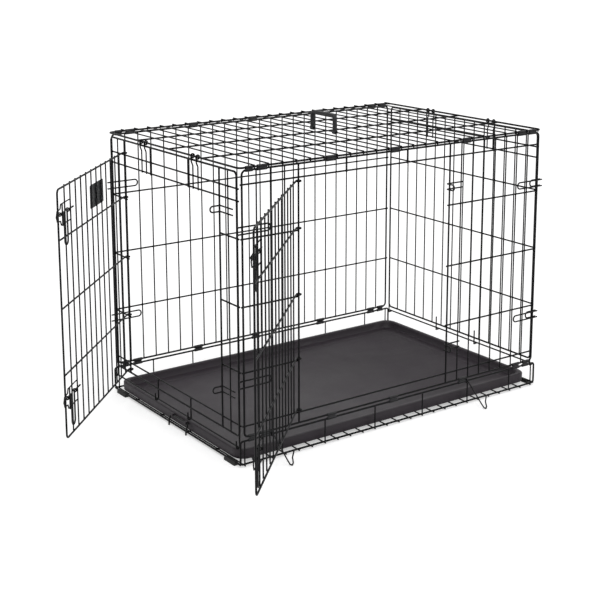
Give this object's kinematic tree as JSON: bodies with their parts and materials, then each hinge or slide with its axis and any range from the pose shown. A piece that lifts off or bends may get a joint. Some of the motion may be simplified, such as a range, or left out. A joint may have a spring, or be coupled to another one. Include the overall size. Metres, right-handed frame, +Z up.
{
  "type": "wire dog crate",
  "caption": "Folding wire crate with an open end door, an open side door, sliding bolts, a slide-out pan and a carry handle.",
  "frame": {"origin": "on the floor, below the middle of the roof", "axes": "+X along the crate away from the end door, +Y from the side door to the plain side, +Z up"},
  "size_m": [1.4695, 1.1031, 0.8614],
  "materials": {
    "wire": "satin black coating",
    "plastic": "black moulded",
    "pan": "fine grained dark grey"
  },
  "bodies": {
    "crate": {"base_grid": "wire", "feet": "plastic", "near_side_panel": "wire", "far_side_panel": "wire", "roof_panel": "wire", "door_end_panel": "wire", "side_door_staples": "wire", "end_door_staples": "wire", "near_roof_clips": "plastic", "far_roof_clips": "plastic", "near_base_clips": "plastic", "far_base_clips": "plastic"},
    "plain_end": {"plain_end_panel": "wire"},
    "end_door_leaf": {"end_door": "wire", "name_plate": "plastic"},
    "side_door_leaf": {"side_door": "wire"},
    "end_upper_bolt": {"end_door_upper_bolt": "wire"},
    "end_lower_bolt": {"end_door_lower_bolt": "wire"},
    "side_upper_bolt": {"side_door_upper_bolt": "wire"},
    "side_lower_bolt": {"side_door_lower_bolt": "wire"},
    "pan": {"plastic_pan": "pan"},
    "bail": {"pan_bail": "wire"},
    "handle": {"carry_handle": "plastic"},
    "left_hook": {"left_transport_hook": "wire"},
    "right_hook": {"right_transport_hook": "wire"}
  },
  "joints": [
    {"name": "side_door_hinge", "type": "hinge", "parent": "crate", "child": "side_door_leaf", "pos_m": [-0.35067, -0.356, 0.4225], "axis": [0, 0, 1], "range_deg": [-18, 135]},
    {"name": "end_door_hinge", "type": "hinge", "parent": "crate", "child": "end_door_leaf", "pos_m": [-0.534, 0.261, 0.412], "axis": [0, 0, 1], "range_deg": [-108, 45]},
    {"name": "end_upper_bolt_slide", "type": "slide", "parent": "end_door_leaf", "child": "end_upper_bolt", "axis": [-0.7071, -0.7071, 0], "range_m": [0, 0.024]},
    {"name": "end_lower_bolt_slide", "type": "slide", "parent": "end_door_leaf", "child": "end_lower_bolt", "axis": [-0.7071, -0.7071, 0], "range_m": [0, 0.024]},
    {"name": "side_upper_bolt_slide", "type": "slide", "parent": "side_door_leaf", "child": "side_upper_bolt", "axis": [-0.7071, -0.7071, 0], "range_m": [0, 0.024]},
    {"name": "side_lower_bolt_slide", "type": "slide", "parent": "side_door_leaf", "child": "side_lower_bolt", "axis": [-0.7071, -0.7071, 0], "range_m": [0, 0.024]},
    {"name": "pan_slide", "type": "slide", "parent": "crate", "child": "pan", "axis": [-1, 0, 0], "range_m": [0, 0.9]},
    {"name": "pan_bail_hinge", "type": "hinge", "parent": "pan", "child": "bail", "pos_m": [-0.538, -0.0335, 0.0336], "axis": [0, 1, 0], "range_deg": [0, 80]},
    {"name": "handle_hinge", "type": "hinge", "parent": "crate", "child": "handle", "pos_m": [-0.008, 0, 0.8074], "axis": [0, 1, 0], "range_deg": [-72, 72]},
    {"name": "left_hook_hinge", "type": "hinge", "parent": "crate", "child": "left_hook", "pos_m": [-0.43921, -0.356, 0.073], "axis": [-1, 0, 0], "range_deg": [0, 60]},
    {"name": "right_hook_hinge", "type": "hinge", "parent": "crate", "child": "right_hook", "pos_m": [0.25842, -0.356, 0.073], "axis": [-1, 0, 0], "range_deg": [0, 60]},
    {"name": "plain_end_hinge", "type": "hinge", "parent": "crate", "child": "plain_end", "pos_m": [0.534, 0, 0.803], "axis": [0, 1, 0], "range_deg": [0, 60]}
  ]
}
